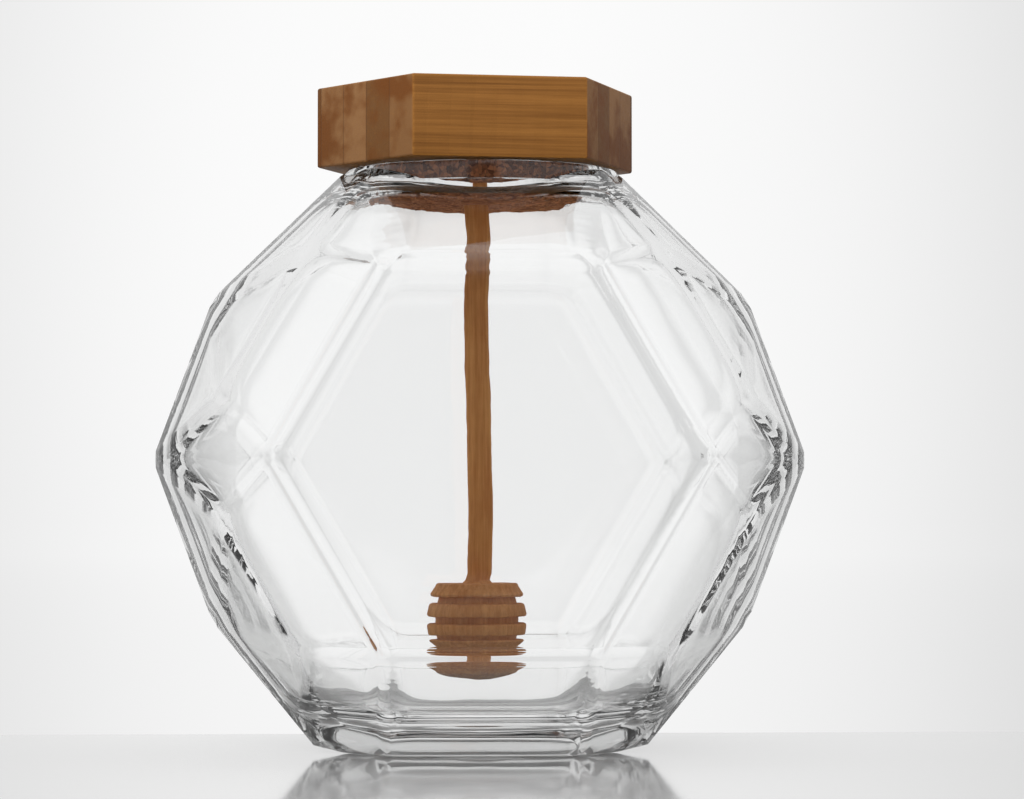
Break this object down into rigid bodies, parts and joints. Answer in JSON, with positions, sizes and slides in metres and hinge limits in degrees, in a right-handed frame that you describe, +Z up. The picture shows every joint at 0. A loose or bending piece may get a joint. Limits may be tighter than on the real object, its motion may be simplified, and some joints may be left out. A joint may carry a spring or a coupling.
{
  "type": "hexagonal honey jar with dipper",
  "caption": "Clear faceted glass honey jar with a hexagonal front, a cork stopper, a hexagonal bamboo lid and a wooden dipper standing inside.",
  "frame": {"origin": "centre of the base, on the surface the jar stands on", "axes": "+Z up towards the lid, the hexagonal front face looks along -Y, +X to the right as seen from the front"},
  "size_m": [0.11, 0.086, 0.1109],
  "materials": {
    "glass": "clear polished glass with softly rounded facet edges",
    "cork": "granular brown cork, matt",
    "bamboo": "carbonised bamboo laminate, fine horizontal grain, satin oil finish",
    "dipper_wood": "turned hardwood, unvarnished"
  },
  "bodies": {
    "root": {"glass_jar": "glass", "cork_stopper": "cork", "bamboo_lid": "bamboo", "honey_dipper": "dipper_wood"}
  },
  "joints": []
}
